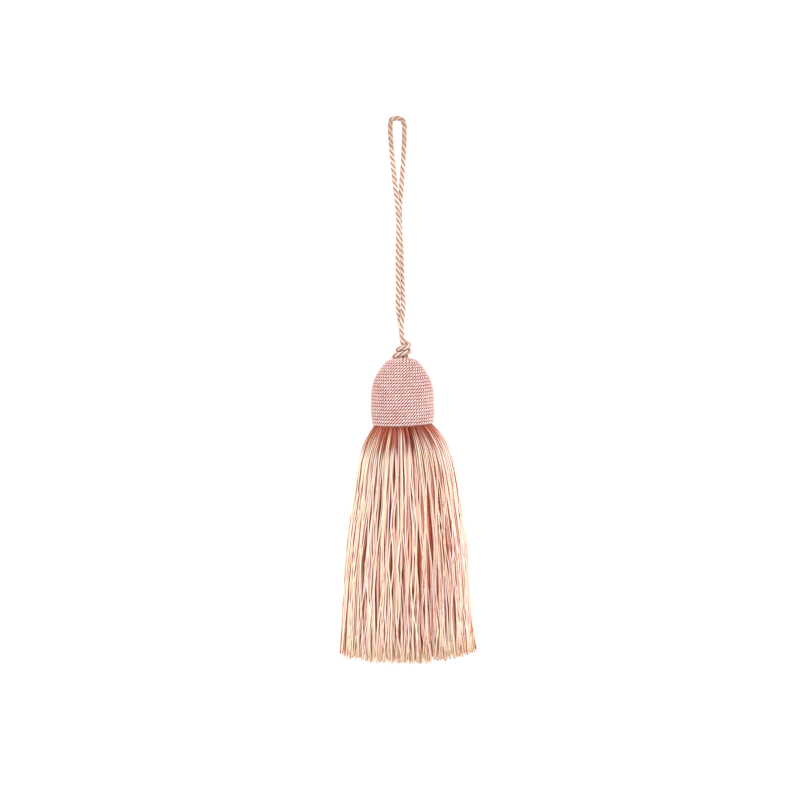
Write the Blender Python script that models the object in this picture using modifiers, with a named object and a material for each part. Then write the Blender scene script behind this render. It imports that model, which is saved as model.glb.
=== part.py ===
"""A hanging tassel: a head wound with twisted cord, a skirt of cut strands and a plied loop of cord.

The tassel hangs plumb by its loop. Units are metres, +Z is up and the front faces -Y.
The origin is the point under the loop's top where a hook or peg bears.
"""

import math
import random

import bmesh
import bpy
import numpy as np
from mathutils import Vector

MM = 0.001
SEED = 11
WELD = 0.01 * MM
PIECE_GAP = 0.3 * MM

# Levels, measured down from the bearing point at the origin.
CROWN_Z = -85.6 * MM
HEAD_HEIGHT = 24.6 * MM
RIM_Z = CROWN_Z - HEAD_HEIGHT

# Hanging cord: three plies twisted together, the crests at the cord's own radius.
CORD_RADIUS = 0.95 * MM
CORD_GROOVE_RADIUS = 0.62 * MM
CORD_PLIES = 3
CORD_LEAD = 6.8 * MM
CORD_STEP = 1.05 * MM
PLY_CREST_ANGLES = (-26.0, 26.0)
PLY_GROOVE_ANGLE = 60.0

# Head: a round-topped mould wound with a finer cord, one ridge for each turn.
WINDING_PITCH = 1.18 * MM
WINDING_RELIEF = 0.30 * MM
RIDGE_SHOULDERS = (0.27, 0.73)
HEAD_SIDES = 24
SOCKET_RADIUS = 9.3 * MM
SOCKET_DEPTH = 3.0 * MM

# Skirt: the heading is the backing in which the strands are fused. It clears the flats of the
# socket's wall.
HEADING_RADIUS = SOCKET_RADIUS * math.cos(math.pi / HEAD_SIDES) - PIECE_GAP
HEADING_FACE = 0.4 * MM
HEADING_THICKNESS = SOCKET_DEPTH - HEADING_FACE - PIECE_GAP
HEADING_SIDES = 30
END_UNEVENNESS = 1.2 * MM
RING_TURN = math.radians(137.5)
SWAY_SHARE = 0.09
WAVE_HEIGHT = 0.7 * MM
WAVE_LENGTH = 46.0 * MM

# Outline of the head over the winding, in mm above the rim, from rim to crown.
HEAD_OUTLINE = (
    {"height": 0.0, "radius": 11.1},
    {"height": 1.6, "radius": 11.5},
    {"height": 4.2, "radius": 11.75},
    {"height": 9.5, "radius": 11.75},
    {"height": 13.0, "radius": 11.5},
    {"height": 16.0, "radius": 10.8},
    {"height": 18.6, "radius": 9.65},
    {"height": 21.0, "radius": 8.1},
    {"height": 22.8, "radius": 6.75},
    {"height": 24.0, "radius": 5.35},
    {"height": 24.5, "radius": 3.8},
    {"height": 24.6, "radius": 2.2},
)

# One leg of the loop from its top downwards, in mm from the bearing point. The other leg is
# the same line turned half way round, so the two lie against each other and change places.
LEG_ROUTE = (
    (-2.53, 0.00, -1.8),
    (-2.46, 0.00, -6.0),
    (-2.20, 0.00, -10.3),
    (-1.86, -0.03, -15.3),
    (-1.42, -0.14, -20.3),
    (-1.02, -0.42, -24.8),
    (-0.50, -0.95, -29.8),
    (-0.26, -1.05, -37.3),
    (-0.52, -0.95, -44.3),
    (-0.72, -0.80, -50.3),
    (-0.76, -0.76, -57.3),
    (-0.88, -0.56, -62.8),
    (-1.02, 0.10, -66.6),
    (-0.62, 0.86, -70.3),
    (-0.10, 1.06, -73.8),
)

# The cord's middle over the hook, from the left leg to the right one.
LOOP_TOP_ROUTE = (
    (-2.10, 0.00, 0.35),
    (-0.95, 0.00, 0.92),
    (0.60, 0.00, 0.92),
    (1.80, 0.00, 0.40),
)

# Above the head the right leg runs down through the two tied turns, which the left leg makes
# round it. Both routes run downwards, with their heights in mm above the crown.
STRAIGHT_LEG_ROUTE = (
    (0.28, -0.86, 8.8),
    (0.44, -0.36, 6.3),
    (0.55, 0.00, 4.7),
    (0.72, 0.05, 3.5),
    (0.72, 0.15, 2.4),
    (1.18, 0.20, 1.4),
    (1.55, 0.22, 0.74),
)
TIED_LEG_ROUTE = (
    (0.00, 1.24, 8.8),
    (0.50, 1.76, 6.6),
    (1.55, 1.78, 5.6),
    (2.50, 0.80, 5.0),
    (2.65, -0.40, 4.65),
    (2.02, -1.58, 4.3),
    (0.82, -2.13, 3.95),
    (-0.40, -1.77, 3.68),
    (-1.28, -0.55, 3.42),
    (-1.10, 1.00, 3.16),
    (0.16, 2.10, 2.95),
    (1.60, 2.00, 2.78),
    (2.70, 1.00, 2.62),
    (2.82, -0.55, 2.42),
    (1.82, -1.80, 2.08),
    (0.42, -2.15, 1.76),
    (-0.92, -1.92, 1.52),
    (-1.80, -1.50, 1.40),
    (-2.30, -1.18, 1.29),
    (-2.48, -1.05, 1.22),
)

# The outermost strands: drop below the rim, radius of the ring they stand in and radius of
# one strand, in mm. The lag lowers a station for each ring further in, because the inner
# strands spread out below the outer ones. The shift moves a ring to the right of the axis.
STRAND_STATIONS = (
    {"drop": -0.9, "ring_radius": 7.9, "strand_radius": 0.27, "lag": 0.0, "shift": 0.0},
    {"drop": 0.55, "ring_radius": 8.6, "strand_radius": 0.27, "lag": 0.9, "shift": 0.0},
    {"drop": 1.5, "ring_radius": 11.7, "strand_radius": 0.33, "lag": 1.0, "shift": 0.4},
    {"drop": 6.0, "ring_radius": 14.7, "strand_radius": 0.42, "lag": 0.8, "shift": 0.7},
    {"drop": 17.0, "ring_radius": 17.6, "strand_radius": 0.58, "lag": 0.4, "shift": 0.9},
    {"drop": 42.0, "ring_radius": 21.2, "strand_radius": 0.70, "lag": 0.0, "shift": 0.5},
    {"drop": 82.4, "ring_radius": 24.2, "strand_radius": 0.80, "lag": 0.0, "shift": 0.0},
)

# Rings of strands from the outside in: how many strands, their share of the outer ring's
# radius, how many sides each has and which stations it keeps.
STRAND_RINGS = (
    {"count": 76, "share": 1.00, "sides": 4, "stations": (0, 1, 2, 3, 4, 5, 6)},
    {"count": 50, "share": 0.86, "sides": 3, "stations": (0, 1, 2, 3, 5, 6)},
    {"count": 36, "share": 0.71, "sides": 3, "stations": (0, 1, 3, 5, 6)},
    {"count": 26, "share": 0.56, "sides": 3, "stations": (0, 1, 3, 5, 6)},
    {"count": 17, "share": 0.41, "sides": 3, "stations": (0, 1, 3, 6)},
    {"count": 10, "share": 0.26, "sides": 3, "stations": (0, 1, 3, 6)},
    {"count": 4, "share": 0.11, "sides": 3, "stations": (0, 1, 3, 6)},
)


def clear_scene():
    """Removes whatever the file opened with."""
    for obj in list(bpy.data.objects):
        bpy.data.objects.remove(obj)


def new_collection(name):
    """A collection linked to the scene."""
    collection = bpy.data.collections.new(name)
    bpy.context.scene.collection.children.link(collection)
    return collection


def yarn_material(name, colour, roughness):
    """A plain yarn colour."""
    material = bpy.data.materials.new(name)
    material.use_nodes = True
    shader = material.node_tree.nodes["Principled BSDF"]
    shader.inputs["Base Color"].default_value = (*colour, 1.0)
    shader.inputs["Roughness"].default_value = roughness
    shader.inputs["Metallic"].default_value = 0.0
    return material


def curve_point(before, start, end, after, share):
    """A point part of the way from start to end on the centripetal curve through all four."""
    t0 = 0.0
    t1 = t0 + math.sqrt((start - before).length)
    t2 = t1 + math.sqrt((end - start).length)
    t3 = t2 + math.sqrt((after - end).length)
    t = t1 + share * (t2 - t1)
    a1 = before.lerp(start, (t - t0) / (t1 - t0))
    a2 = start.lerp(end, (t - t1) / (t2 - t1))
    a3 = end.lerp(after, (t - t2) / (t3 - t2))
    b1 = a1.lerp(a2, (t - t0) / (t2 - t0))
    b2 = a2.lerp(a3, (t - t1) / (t3 - t1))
    return b1.lerp(b2, (t - t1) / (t2 - t1))


def smooth_curve(points, pieces=16):
    """A fine line on the smooth curve through the points."""
    guides = [2 * points[0] - points[1], *points, 2 * points[-1] - points[-2]]
    line = []
    for stretch in zip(guides, guides[1:], guides[2:], guides[3:]):
        line += [curve_point(*stretch, piece / pieces) for piece in range(pieces)]
    return [*line, points[-1]]


def travel(line):
    """How far along the line each of its points lies."""
    spans = np.linalg.norm(np.diff(np.array(line), axis=0), axis=1)
    return np.concatenate(([0.0], np.cumsum(spans)))


def points_at(line, distances):
    """The points that lie the given distances along the line."""
    coordinates = np.array(line).T
    travelled = travel(line)
    return [Vector(p) for p in zip(*(np.interp(distances, travelled, axis) for axis in coordinates))]


def tube_curve(name, collection):
    """An empty 3D curve object with closed ends, for tubes."""
    curve = bpy.data.curves.new(name, "CURVE")
    curve.dimensions = "3D"
    curve.use_fill_caps = True
    curve.twist_mode = "MINIMUM"
    obj = bpy.data.objects.new(name, curve)
    collection.objects.link(obj)
    return obj


def add_route(curve, points, radii=None, tilts=None):
    """Adds one straight-jointed spline through the points."""
    spline = curve.splines.new("POLY")
    spline.points.add(len(points) - 1)
    for i, (spot, point) in enumerate(zip(spline.points, points)):
        spot.co = (*point, 1.0)
        spot.radius = radii[i] if radii else 1.0
        spot.tilt = tilts[i] if tilts else 0.0


def section_curve(name, outline, guides):
    """A closed flat outline that a tube takes its section from."""
    curve = bpy.data.curves.new(name, "CURVE")
    curve.dimensions = "2D"
    spline = curve.splines.new("POLY")
    spline.points.add(len(outline) - 1)
    for spot, (x, y) in zip(spline.points, outline):
        spot.co = (x, y, 0.0, 1.0)
    spline.use_cyclic_u = True
    return hide_guide(bpy.data.objects.new(name, curve), guides)


def hide_guide(obj, guides):
    """Links a helper object that is not part of the tassel."""
    guides.objects.link(obj)
    obj.hide_render = True
    obj.display_type = "WIRE"
    return obj


def round_outline(radius_at_angle):
    """Turns radius and degree pairs into flat outline points, clockwise so that tubes face out."""
    return [
        (radius * math.cos(math.radians(angle)), -radius * math.sin(math.radians(angle)))
        for radius, angle in radius_at_angle
    ]


def cord_section():
    """Outline of the cord: one round crest for each ply, with a groove between them."""
    corners = []
    for ply in range(CORD_PLIES):
        turned = ply * 360.0 / CORD_PLIES
        corners += [(CORD_RADIUS, turned + angle) for angle in PLY_CREST_ANGLES]
        corners.append((CORD_GROOVE_RADIUS, turned + PLY_GROOVE_ANGLE))
    return round_outline(corners)


def cord_route():
    """The cord from the head up one leg, over the loop's top, down the other leg and back."""
    left = [Vector(p) * MM for p in LEG_ROUTE]
    right = [Vector((-p.x, -p.y, p.z)) for p in left]
    crown = Vector((0.0, 0.0, CROWN_Z))
    left += [Vector(p) * MM + crown for p in TIED_LEG_ROUTE]
    right += [Vector(p) * MM + crown for p in STRAIGHT_LEG_ROUTE]
    top = [Vector(p) * MM for p in LOOP_TOP_ROUTE]
    return left[::-1] + top + right


def build_cord(parts, guides):
    """The hanging cord, its ply twist raised by turning the section along the route."""
    line = smooth_curve(cord_route())
    length = travel(line)[-1]
    distances = np.linspace(0.0, length, round(length / CORD_STEP) + 1)
    cord = tube_curve("hanging_cord", parts)
    cord.data.bevel_mode = "OBJECT"
    cord.data.bevel_object = section_curve("cord_section", cord_section(), guides)
    tilts = [-math.tau * distance / CORD_LEAD for distance in distances]
    add_route(cord.data, points_at(line, distances), tilts=tilts)
    facets = cord.modifiers.new("facets_along_the_plies", "TRIANGULATE")
    facets.quad_method = "SHORTEST_DIAGONAL"
    cord.data.materials.append(yarn_material("blush_cord", (0.76, 0.56, 0.47), 0.6))
    return cord


def head_profile():
    """Half section of the head from the axis at the crown, down the winding, to the socket."""
    outline = [Vector((row["radius"], 0.0, row["height"])) * MM for row in reversed(HEAD_OUTLINE)]
    line = smooth_curve(outline)
    length = travel(line)[-1]
    turns = round(length / WINDING_PITCH)
    pitch = length / turns
    across = [
        (turn + share) * pitch
        for turn in range(turns)
        for share in (0.0, *RIDGE_SHOULDERS)
    ]
    reach = 0.05 * MM
    profile = [Vector((0.0, 0.0, HEAD_HEIGHT - WINDING_RELIEF))]
    for i, distance in enumerate(across):
        here, ahead = points_at(line, [distance, distance + reach])
        slope = (ahead - here).normalized()
        outward = Vector((-slope.z, 0.0, slope.x))
        in_groove = i % (1 + len(RIDGE_SHOULDERS)) == 0
        profile.append(here - outward * (WINDING_RELIEF if in_groove else 0.0))
    rim = outline[-1].x - WINDING_RELIEF
    profile += [
        Vector((rim, 0.0, 0.0)),
        Vector((SOCKET_RADIUS, 0.0, 0.0)),
        Vector((SOCKET_RADIUS, 0.0, SOCKET_DEPTH)),
        Vector((0.0, 0.0, SOCKET_DEPTH)),
    ]
    return profile


def build_head(parts):
    """The wound head, turned from its half section."""
    mesh = bpy.data.meshes.new("wound_head")
    profile = head_profile()
    edges = [(i, i + 1) for i in range(len(profile) - 1)]
    mesh.from_pydata(profile, edges, [])
    head = bpy.data.objects.new("wound_head", mesh)
    parts.objects.link(head)
    head.location.z = RIM_Z
    screw = head.modifiers.new("turn", "SCREW")
    screw.axis = "Z"
    screw.angle = math.tau
    screw.steps = screw.render_steps = HEAD_SIDES
    screw.use_merge_vertices = True
    screw.merge_threshold = WELD
    screw.use_smooth_shade = False
    mesh.materials.append(yarn_material("rose_winding", (0.70, 0.41, 0.38), 0.6))
    return head


def strand_points(ring_number, strand_number, chance):
    """Middle line and radii of one strand, as uneven as cut yarn hangs."""
    ring = STRAND_RINGS[ring_number]
    spacing = math.tau / ring["count"]
    angle = spacing * strand_number + RING_TURN * ring_number
    lean = chance.uniform(-SWAY_SHARE, SWAY_SHARE) * spacing
    end = chance.uniform(-END_UNEVENNESS, END_UNEVENNESS)
    points, radii = [], []
    for station in ring["stations"]:
        row = STRAND_STATIONS[station]
        drop = (row["drop"] + ring_number * row["lag"]) * MM
        radius = row["ring_radius"] * ring["share"] * MM
        freedom = max(0.0, min(1.0, row["drop"] * MM / (0.5 * WAVE_LENGTH)))
        wave = WAVE_HEIGHT * math.sin(math.tau * drop / WAVE_LENGTH + 3.0 * angle)
        turn = angle + freedom * (lean + wave * ring["share"] / radius)
        if station == len(STRAND_STATIONS) - 1:
            drop += end
        across = radius * math.cos(turn) + row["shift"] * MM
        points.append(Vector((across, radius * math.sin(turn), -drop)))
        radii.append(row["strand_radius"] * MM)
    return points, radii


def strand_section(sides):
    """Regular outline of a strand one metre in radius, which each strand's own radii scale."""
    return round_outline([(1.0, 360.0 * (side + 0.5) / sides) for side in range(sides)])


def solid_copy(curve_object, guides):
    """Turns a tube curve into a closed mesh object with its ends welded on."""
    graph = bpy.context.evaluated_depsgraph_get()
    mesh = bpy.data.meshes.new_from_object(curve_object.evaluated_get(graph))
    shape = bmesh.new()
    shape.from_mesh(mesh)
    bmesh.ops.remove_doubles(shape, verts=shape.verts, dist=WELD)
    shape.to_mesh(mesh)
    shape.free()
    solid = bpy.data.objects.new(curve_object.name + "_solid", mesh)
    solid.matrix_world = curve_object.matrix_world
    bpy.data.objects.remove(curve_object)
    return hide_guide(solid, guides)


def build_strands(sides, guides, chance):
    """All the strands that have the given number of sides, as closed tubes."""
    tube = tube_curve(f"strands_of_{sides}_sides", guides)
    tube.data.bevel_mode = "OBJECT"
    tube.data.bevel_object = section_curve(f"section_of_{sides}", strand_section(sides), guides)
    for number, ring in enumerate(STRAND_RINGS):
        if ring["sides"] != sides:
            continue
        for strand in range(ring["count"]):
            points, radii = strand_points(number, strand, chance)
            add_route(tube.data, points, radii=radii)
    tube.location.z = RIM_Z
    bpy.context.view_layer.update()
    return solid_copy(tube, guides)


def build_skirt(parts, guides):
    """The skirt: strands that stand apart, fused at their roots into the round heading."""
    middle = RIM_Z + HEADING_FACE + 0.5 * HEADING_THICKNESS
    bpy.ops.mesh.primitive_cylinder_add(
        vertices=HEADING_SIDES, radius=HEADING_RADIUS, depth=HEADING_THICKNESS,
        location=(0.0, 0.0, middle),
    )
    skirt = bpy.context.object
    skirt.name = skirt.data.name = "strand_skirt"
    for collection in list(skirt.users_collection):
        collection.objects.unlink(skirt)
    parts.objects.link(skirt)
    chance = random.Random(SEED)
    for sides in sorted({ring["sides"] for ring in STRAND_RINGS}):
        union = skirt.modifiers.new(f"root_{sides}", "BOOLEAN")
        union.operation = "UNION"
        union.solver = "EXACT"
        union.object = build_strands(sides, guides, chance)
    skirt.data.materials.append(yarn_material("peach_strands", (0.80, 0.55, 0.43), 0.5))
    return skirt


def main():
    """Builds the tassel's three pieces."""
    clear_scene()
    parts = new_collection("tassel")
    guides = new_collection("guides")
    build_cord(parts, guides)
    build_head(parts)
    build_skirt(parts, guides)


if __name__ == "__main__":
    main()
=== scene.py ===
"""The looks of a hanging tassel.

A plied cord loop, a head wound with fine twisted cord and a silky skirt of cut threads are
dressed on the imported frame. Units are metres, +Z is up and the front faces -Y.
"""

import logging
import math
from dataclasses import dataclass
from enum import Enum

import bpy
import numpy as np
from mathutils import Matrix, Vector


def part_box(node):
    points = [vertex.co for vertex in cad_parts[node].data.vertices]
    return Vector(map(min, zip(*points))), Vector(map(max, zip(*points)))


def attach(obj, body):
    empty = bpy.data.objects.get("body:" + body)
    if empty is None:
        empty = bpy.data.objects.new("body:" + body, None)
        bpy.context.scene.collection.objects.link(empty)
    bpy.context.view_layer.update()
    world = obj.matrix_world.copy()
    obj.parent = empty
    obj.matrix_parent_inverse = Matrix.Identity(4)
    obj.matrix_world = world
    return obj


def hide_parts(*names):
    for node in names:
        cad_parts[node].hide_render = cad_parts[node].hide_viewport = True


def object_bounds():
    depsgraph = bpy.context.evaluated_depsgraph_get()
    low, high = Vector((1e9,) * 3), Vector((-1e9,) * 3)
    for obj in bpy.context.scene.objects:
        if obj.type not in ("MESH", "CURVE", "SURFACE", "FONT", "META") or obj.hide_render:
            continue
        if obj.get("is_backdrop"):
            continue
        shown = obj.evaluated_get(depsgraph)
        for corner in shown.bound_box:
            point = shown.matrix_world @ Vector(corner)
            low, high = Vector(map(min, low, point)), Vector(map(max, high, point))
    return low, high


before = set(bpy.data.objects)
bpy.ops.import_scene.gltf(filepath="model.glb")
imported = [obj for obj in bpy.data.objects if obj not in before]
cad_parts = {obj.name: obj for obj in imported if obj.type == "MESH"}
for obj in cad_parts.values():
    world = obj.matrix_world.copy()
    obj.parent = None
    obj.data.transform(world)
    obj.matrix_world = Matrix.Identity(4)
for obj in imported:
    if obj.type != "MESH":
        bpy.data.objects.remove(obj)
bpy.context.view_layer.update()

MM = 0.001
SEED = 37
WELD = 0.00001
FRONT = -0.5 * math.pi
LOG = logging.getLogger("tassel")

Colour = tuple[float, float, float]
Span = tuple[float, float]
Arrays = dict[str, np.ndarray]
Socket = bpy.types.NodeSocket

# The span in which a noise's values lie, and the yarn attributes of a plain solid piece: a deeper
# tone, and full depth, which paints it all in painted shade.
NOISE_SPAN = (0.3, 0.7)
PLAIN_YARN = {"tone": 0.8, "depth": 1.0}

# One leg of the loop from its top downwards, in mm from the bearing point. The other leg is
# the same line turned half way round, so the two lie against each other and change places.
LEG_ROUTE = (
    (-2.53, 0.00, -1.8),
    (-2.46, 0.00, -6.0),
    (-2.20, 0.00, -10.3),
    (-1.86, -0.03, -15.3),
    (-1.42, -0.14, -20.3),
    (-1.02, -0.42, -24.8),
    (-0.50, -0.95, -29.8),
    (-0.26, -1.05, -37.3),
    (-0.52, -0.95, -44.3),
    (-0.72, -0.80, -50.3),
    (-0.76, -0.76, -57.3),
    (-0.88, -0.56, -62.8),
    (-1.02, 0.10, -66.6),
    (-0.62, 0.86, -70.3),
    (-0.10, 1.06, -73.8),
)

# The cord's middle over the hook, from the left leg to the right one.
LOOP_TOP_ROUTE = (
    (-2.10, 0.00, 0.35),
    (-0.95, 0.00, 0.92),
    (0.60, 0.00, 0.92),
    (1.80, 0.00, 0.40),
)

# Above the head the right leg runs down through the two tied turns, which the left leg makes
# round it. Both routes run downwards, with their heights in mm above the crown.
STRAIGHT_LEG_ROUTE = (
    (0.28, -0.86, 8.8),
    (0.44, -0.36, 6.3),
    (0.55, 0.00, 4.7),
    (0.72, 0.05, 3.5),
    (0.72, 0.15, 2.4),
    (1.18, 0.20, 1.4),
    (1.55, 0.22, 0.74),
)
TIED_LEG_ROUTE = (
    (0.00, 1.24, 8.8),
    (0.50, 1.76, 6.6),
    (1.55, 1.78, 5.6),
    (2.50, 0.80, 5.0),
    (2.65, -0.40, 4.65),
    (2.02, -1.58, 4.3),
    (0.82, -2.13, 3.95),
    (-0.40, -1.77, 3.68),
    (-1.28, -0.55, 3.42),
    (-1.10, 1.00, 3.16),
    (0.16, 2.10, 2.95),
    (1.60, 2.00, 2.78),
    (2.70, 1.00, 2.62),
    (2.82, -0.55, 2.42),
    (1.82, -1.80, 2.08),
    (0.42, -2.15, 1.76),
    (-0.92, -1.92, 1.52),
    (-1.80, -1.50, 1.40),
    (-2.30, -1.18, 1.29),
    (-2.48, -1.05, 1.22),
)

# The last of each leg inside the crown, likewise. The tied leg curves down on its way in.
STRAIGHT_LEG_END = ((1.62, 0.22, -0.80),)
TIED_LEG_END = (
    (-2.74, -0.72, 0.98),
    (-2.86, -0.30, 0.42),
    (-2.84, -0.02, -0.70),
)

# Outline of the head over the winding: height above the rim and radius, in mm.
HEAD_OUTLINE = (
    (0.0, 11.1),
    (1.6, 11.5),
    (4.2, 11.75),
    (9.5, 11.75),
    (13.0, 11.5),
    (16.0, 10.8),
    (18.6, 9.65),
    (21.0, 8.1),
    (22.8, 6.75),
    (24.0, 5.35),
    (24.5, 3.8),
    (24.75, 2.7),
    (25.15, 1.9),
    (25.7, 1.3),
)

# Middle line of an outermost thread: drop below the rim, radius from the skirt's middle, how
# far the line sinks for a thread that starts at the middle, and how far the skirt's middle
# lies to the right of the tassel's axis, in mm.
THREAD_OUTLINE = (
    (-0.9, 8.4, 0.0, 0.0),
    (-0.25, 10.1, 6.3, 0.1),
    (0.1, 10.9, 6.6, 0.2),
    (0.9, 11.55, 6.9, 0.35),
    (2.2, 12.4, 7.0, 0.45),
    (3.7, 13.35, 6.8, 0.55),
    (5.4, 14.4, 6.2, 0.65),
    (8.5, 15.9, 5.2, 0.75),
    (13.0, 17.2, 3.8, 0.85),
    (19.0, 18.3, 2.2, 0.9),
    (27.0, 19.3, 0.8, 0.8),
    (38.0, 21.0, 0.0, 0.6),
    (50.0, 22.35, 0.0, 0.35),
    (66.0, 23.5, 0.0, 0.1),
    (82.2, 24.2, 0.0, 0.0),
)


class Twist(Enum):
    """Which way plies turn round a cord."""

    S = -1.0
    Z = 1.0


class YarnShade(Enum):
    """The yarn colours mixed in the skirt."""

    CREAM = "cream"
    BLUSH = "blush"
    PEACH = "peach"
    SALMON = "salmon"
    CORE = "core"


@dataclass(frozen=True)
class ThreadLayer:
    """How many threads a layer has, their share of the outermost radius, and depth from 0 to 1."""

    count: int
    share_at_rim: float
    share_at_hem: float
    depth: float
    stations: int = 16


# From the outside in, and likewise for the core inside them.
THREAD_LAYERS = (
    ThreadLayer(170, 1.0, 1.0, 0.0),
    ThreadLayer(172, 0.965, 0.988, 0.18),
    ThreadLayer(172, 0.92, 0.97, 0.42),
    ThreadLayer(150, 0.87, 0.94, 0.68),
    ThreadLayer(146, 0.81, 0.905, 0.88),
    ThreadLayer(134, 0.75, 0.865, 1.0),
    ThreadLayer(120, 0.69, 0.815, 1.0),
)
CORE_LAYERS = (
    ThreadLayer(92, 0.61, 0.74, 1.0, 12),
    ThreadLayer(84, 0.54, 0.66, 1.0, 12),
    ThreadLayer(74, 0.46, 0.57, 1.0, 12),
    ThreadLayer(62, 0.38, 0.47, 1.0, 12),
    ThreadLayer(46, 0.29, 0.36, 1.0, 12),
    ThreadLayer(30, 0.20, 0.24, 1.0, 12),
    ThreadLayer(12, 0.09, 0.12, 1.0, 12),
)

# Each shade's share of the threads, outside and deep in the skirt. The darker mix deep inside is
# partly painted shade between the threads.
SHADE_SHARES = {
    YarnShade.CREAM: (0.35, 0.20),
    YarnShade.BLUSH: (0.39, 0.22),
    YarnShade.PEACH: (0.18, 0.28),
    YarnShade.SALMON: (0.08, 0.30),
}


def smooth_line(points: np.ndarray, pieces: int = 16) -> np.ndarray:
    """A fine line on the centripetal curve through the points.

    Args:
        points: The points to pass through, one a row.
        pieces: How many steps to make between two of them.

    Returns:
        The points of the fine line, one a row.
    """
    points = np.asarray(points, float)
    guides = np.vstack((2 * points[0] - points[1], points, 2 * points[-1] - points[-2]))
    shares = (np.arange(pieces) / pieces)[:, None]
    line = []
    for before, start, end, after in zip(guides, guides[1:], guides[2:], guides[3:]):
        t1 = math.sqrt(np.linalg.norm(start - before))
        t2 = t1 + math.sqrt(np.linalg.norm(end - start))
        t3 = t2 + math.sqrt(np.linalg.norm(after - end))
        t = t1 + shares * (t2 - t1)
        a1 = before + (start - before) * t / t1
        a2 = start + (end - start) * (t - t1) / (t2 - t1)
        a3 = end + (after - end) * (t - t2) / (t3 - t2)
        b1 = a1 + (a2 - a1) * t / t2
        b2 = a2 + (a3 - a2) * (t - t1) / (t3 - t1)
        line.append(b1 + (b2 - b1) * (t - t1) / (t2 - t1))
    return np.vstack((*line, points[-1:]))


def travel(line: np.ndarray) -> np.ndarray:
    """How far along the line each of its points lies."""
    return np.concatenate(([0.0], np.cumsum(np.linalg.norm(np.diff(line, axis=0), axis=1))))


def points_at(line: np.ndarray, distances: np.ndarray) -> np.ndarray:
    """The points that lie the given distances along the line."""
    travelled = travel(line)
    return np.stack([np.interp(distances, travelled, axis) for axis in line.T], axis=1)


def unit(vectors: np.ndarray) -> np.ndarray:
    """The vectors at length one."""
    return vectors / np.linalg.norm(vectors, axis=-1, keepdims=True)


def directions(lines: np.ndarray) -> np.ndarray:
    """Unit directions along one line, or along each of several lines of as many points."""
    return unit(np.gradient(lines, axis=-2))


def carried_normals(line: np.ndarray) -> np.ndarray:
    """Normals carried along a line without turning about it.

    Args:
        line: The points of the line, one a row.

    Returns:
        One unit normal for each point.
    """
    along = directions(line)
    normal = np.cross(along[0], (0.0, 1.0, 0.0))
    normals = []
    for direction in along:
        normal = normal - direction * normal.dot(direction)
        normal = normal / np.linalg.norm(normal)
        normals.append(normal)
    return np.array(normals)


def smoothstep(values: np.ndarray, low: float, high: float) -> np.ndarray:
    """Zero below low, one above high and a soft step between them."""
    share = np.clip((values - low) / (high - low), 0.0, 1.0)
    return share * share * (3.0 - 2.0 * share)


class Onset(Enum):
    """Between which drops below the rim, in mm, an effect on the threads grows to its full size."""

    SWAY = (0.0, 30.0)
    PARTING = (2.0, 24.0)
    THICKNESS = (2.0, 20.0)
    SETTLING = (4.0, 38.0)
    LEAN = (4.0, 83.0)
    UNEVEN_ENDS = (50.0, 83.0)
    OPEN_HEM = (50.0, 84.0)
    FLARE = (66.0, 86.0)
    KICK = (70.0, 84.0)

    def growth(self, drop: np.ndarray) -> np.ndarray:
        """How far the effect has grown at each drop, from 0 to 1."""
        low, high = self.value
        return smoothstep(drop, low * MM, high * MM)


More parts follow.
